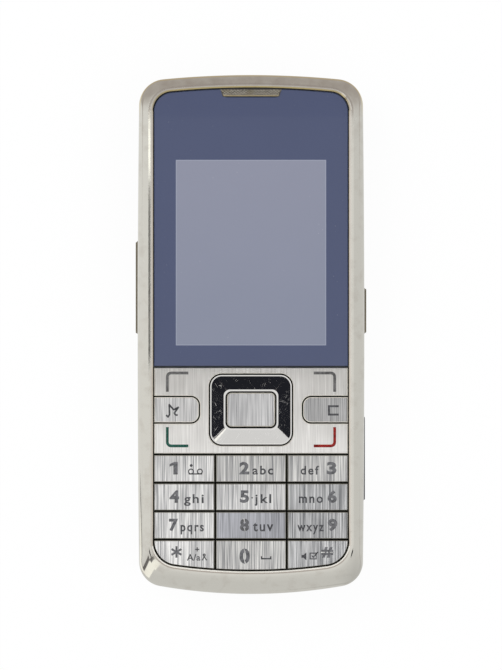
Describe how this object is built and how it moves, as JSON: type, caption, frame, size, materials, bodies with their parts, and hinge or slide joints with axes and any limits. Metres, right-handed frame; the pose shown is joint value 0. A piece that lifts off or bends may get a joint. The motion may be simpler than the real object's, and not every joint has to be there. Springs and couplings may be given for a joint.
{
  "type": "bar phone",
  "caption": "Bar-shaped mobile phone with a metal bezel, colour display, four-way ring, brushed metal keypad, edge keys, port cover and sliding battery cover.",
  "frame": {"origin": "on the surface it lies on, under the middle of the phone", "axes": "+Z out of the screen, +Y along the phone towards the earpiece, +X to the right seen from the front"},
  "size_m": [0.0478, 0.108, 0.0132],
  "materials": {
    "champagne_metal": "polished, warm champagne",
    "brushed_keys": "brushed along the length",
    "mirror_ring": "mirror polish",
    "tinted_window": "gloss, slate blue print",
    "gold_mesh": "fine mesh",
    "gold_trim": "satin champagne",
    "shell_grey": "satin",
    "inner_plastic": "moulded",
    "silicone": "dark, nearly opaque",
    "foam": "black foam",
    "display_glass": "dark display",
    "light_guide": "clear sheet",
    "sheet_steel": "tinned sheet",
    "circuit_board": "solder mask",
    "flex_film": "polyimide film",
    "battery_wrap": "plain wrap",
    "sim_plastic": "white card",
    "camera_trim": "polished",
    "lens_glass": "coated",
    "antenna_copper": "bare sheet"
  },
  "bodies": {
    "chassis": {"front_bezel": "champagne_metal", "front_frame": "inner_plastic", "rear_housing": "shell_grey", "display_window": "tinted_window", "earpiece_mesh": "gold_mesh", "earpiece_speaker": "sheet_steel", "earpiece_gasket": "foam", "lcd_frame": "sheet_steel", "lcd_backlight": "light_guide", "lcd_panel": "display_glass", "lcd_gasket": "foam", "lcd_connector": "inner_plastic", "lcd_flex": "flex_film", "keymat": "silicone", "dome_sheet": "sheet_steel", "main_pcb": "circuit_board", "shield_cans": "sheet_steel", "side_switches": "inner_plastic", "usb_connector": "sheet_steel", "battery": "battery_wrap", "battery_contacts": "inner_plastic", "sim_holder": "sheet_steel", "sim_card": "sim_plastic", "camera_ring": "camera_trim", "camera_window": "lens_glass", "camera_module": "inner_plastic", "loudspeaker": "inner_plastic", "microphone": "sheet_steel", "microphone_boot": "silicone", "vibration_motor": "sheet_steel", "antenna": "antenna_copper", "housing_screws": "sheet_steel"},
    "key_1": {"key_1": "brushed_keys"},
    "key_2": {"key_2": "brushed_keys"},
    "key_3": {"key_3": "brushed_keys"},
    "key_4": {"key_4": "brushed_keys"},
    "key_5": {"key_5": "brushed_keys"},
    "key_6": {"key_6": "brushed_keys"},
    "key_7": {"key_7": "brushed_keys"},
    "key_8": {"key_8": "brushed_keys"},
    "key_9": {"key_9": "brushed_keys"},
    "key_star": {"key_star": "brushed_keys"},
    "key_0": {"key_0": "brushed_keys"},
    "key_hash": {"key_hash": "brushed_keys"},
    "music_key": {"music_key": "brushed_keys"},
    "clear_key": {"clear_key": "brushed_keys"},
    "select_key": {"select_key": "brushed_keys"},
    "nav_carrier": {"nav_carrier": "inner_plastic"},
    "nav_ring": {"nav_ring": "mirror_ring"},
    "softkey_carrier": {"softkey_carrier": "inner_plastic"},
    "softkey_plate": {"softkey_plate": "brushed_keys"},
    "volume_rocker": {"volume_rocker": "gold_trim"},
    "side_key": {"side_key": "gold_trim"},
    "port_cover": {"port_cover": "shell_grey"},
    "battery_cover": {"battery_cover": "shell_grey"},
    "vibration_weight": {"vibration_weight": "sheet_steel"}
  },
  "joints": [
    {"name": "key_1_press", "type": "slide", "parent": "chassis", "child": "key_1", "axis": [0, 0, -1], "range_m": [0, 0.0003], "stiffness_N_per_m": 600, "springref_m": -0.0002, "deforming": ["keymat", "dome_sheet"]},
    {"name": "key_2_press", "type": "slide", "parent": "chassis", "child": "key_2", "axis": [0, 0, -1], "range_m": [0, 0.0003], "stiffness_N_per_m": 600, "springref_m": -0.0002, "deforming": ["keymat", "dome_sheet"]},
    {"name": "key_3_press", "type": "slide", "parent": "chassis", "child": "key_3", "axis": [0, 0, -1], "range_m": [0, 0.0003], "stiffness_N_per_m": 600, "springref_m": -0.0002, "deforming": ["keymat", "dome_sheet"]},
    {"name": "key_4_press", "type": "slide", "parent": "chassis", "child": "key_4", "axis": [0, 0, -1], "range_m": [0, 0.0003], "stiffness_N_per_m": 600, "springref_m": -0.0002, "deforming": ["keymat", "dome_sheet"]},
    {"name": "key_5_press", "type": "slide", "parent": "chassis", "child": "key_5", "axis": [0, 0, -1], "range_m": [0, 0.0003], "stiffness_N_per_m": 600, "springref_m": -0.0002, "deforming": ["keymat", "dome_sheet"]},
    {"name": "key_6_press", "type": "slide", "parent": "chassis", "child": "key_6", "axis": [0, 0, -1], "range_m": [0, 0.0003], "stiffness_N_per_m": 600, "springref_m": -0.0002, "deforming": ["keymat", "dome_sheet"]},
    {"name": "key_7_press", "type": "slide", "parent": "chassis", "child": "key_7", "axis": [0, 0, -1], "range_m": [0, 0.0003], "stiffness_N_per_m": 600, "springref_m": -0.0002, "deforming": ["keymat", "dome_sheet"]},
    {"name": "key_8_press", "type": "slide", "parent": "chassis", "child": "key_8", "axis": [0, 0, -1], "range_m": [0, 0.0003], "stiffness_N_per_m": 600, "springref_m": -0.0002, "deforming": ["keymat", "dome_sheet"]},
    {"name": "key_9_press", "type": "slide", "parent": "chassis", "child": "key_9", "axis": [0, 0, -1], "range_m": [0, 0.0003], "stiffness_N_per_m": 600, "springref_m": -0.0002, "deforming": ["keymat", "dome_sheet"]},
    {"name": "key_star_press", "type": "slide", "parent": "chassis", "child": "key_star", "axis": [0, 0, -1], "range_m": [0, 0.0003], "stiffness_N_per_m": 600, "springref_m": -0.0002, "deforming": ["keymat", "dome_sheet"]},
    {"name": "key_0_press", "type": "slide", "parent": "chassis", "child": "key_0", "axis": [0, 0, -1], "range_m": [0, 0.0003], "stiffness_N_per_m": 600, "springref_m": -0.0002, "deforming": ["keymat", "dome_sheet"]},
    {"name": "key_hash_press", "type": "slide", "parent": "chassis", "child": "key_hash", "axis": [0, 0, -1], "range_m": [0, 0.0003], "stiffness_N_per_m": 600, "springref_m": -0.0002, "deforming": ["keymat", "dome_sheet"]},
    {"name": "music_key_press", "type": "slide", "parent": "chassis", "child": "music_key", "axis": [0, 0, -1], "range_m": [0, 0.0003], "stiffness_N_per_m": 600, "springref_m": -0.0002, "deforming": ["keymat", "dome_sheet"]},
    {"name": "clear_key_press", "type": "slide", "parent": "chassis", "child": "clear_key", "axis": [0, 0, -1], "range_m": [0, 0.0003], "stiffness_N_per_m": 600, "springref_m": -0.0002, "deforming": ["keymat", "dome_sheet"]},
    {"name": "select_key_press", "type": "slide", "parent": "chassis", "child": "select_key", "axis": [0, 0, -1], "range_m": [0, 0.0003], "stiffness_N_per_m": 600, "springref_m": -0.0002, "deforming": ["keymat", "dome_sheet"]},
    {"name": "nav_tilt_up_down", "type": "hinge", "parent": "chassis", "child": "nav_carrier", "pos_m": [0, -0.0156, 0.01045], "axis": [1, 0, 0], "range_deg": [-1.5, 1.5], "stiffness_Nm_per_rad": 0.05, "deforming": ["keymat", "dome_sheet"]},
    {"name": "nav_tilt_left_right", "type": "hinge", "parent": "nav_carrier", "child": "nav_ring", "pos_m": [0, -0.0156, 0.0109], "axis": [0, 1, 0], "range_deg": [-1.5, 1.5], "stiffness_Nm_per_rad": 0.05, "deforming": ["keymat", "dome_sheet"]},
    {"name": "softkey_tilt_up_down", "type": "hinge", "parent": "chassis", "child": "softkey_carrier", "pos_m": [0, -0.01578, 0.01075], "axis": [1, 0, 0], "range_deg": [-1, 1], "stiffness_Nm_per_rad": 0.05, "deforming": ["keymat", "dome_sheet"]},
    {"name": "softkey_tilt_left_right", "type": "hinge", "parent": "softkey_carrier", "child": "softkey_plate", "pos_m": [0, -0.01578, 0.0114], "axis": [0, 1, 0], "range_deg": [-0.7, 0.7], "stiffness_Nm_per_rad": 0.05, "deforming": ["keymat", "dome_sheet"]},
    {"name": "volume_rock", "type": "hinge", "parent": "chassis", "child": "volume_rocker", "pos_m": [-0.021, 0.00984, 0.0059], "axis": [0, 0, 1], "range_deg": [-1.8, 1.8], "stiffness_Nm_per_rad": 0.05},
    {"name": "side_key_press", "type": "slide", "parent": "chassis", "child": "side_key", "axis": [-1, 0, 0], "range_m": [0, 0.0003], "stiffness_N_per_m": 600, "springref_m": -0.0002},
    {"name": "port_cover_swing", "type": "hinge", "parent": "chassis", "child": "port_cover", "pos_m": [0.0234, -0.01752, 0.0053], "axis": [0, 0, 1], "range_deg": [0, 95]},
    {"name": "battery_cover_slide", "type": "slide", "parent": "chassis", "child": "battery_cover", "axis": [0, -1, 0], "range_m": [0, 0.005]},
    {"name": "vibration_spin", "type": "hinge", "parent": "chassis", "child": "vibration_weight", "pos_m": [0.0154, 0.0437, 0.0044], "axis": [0, 1, 0], "continuous": true}
  ]
}
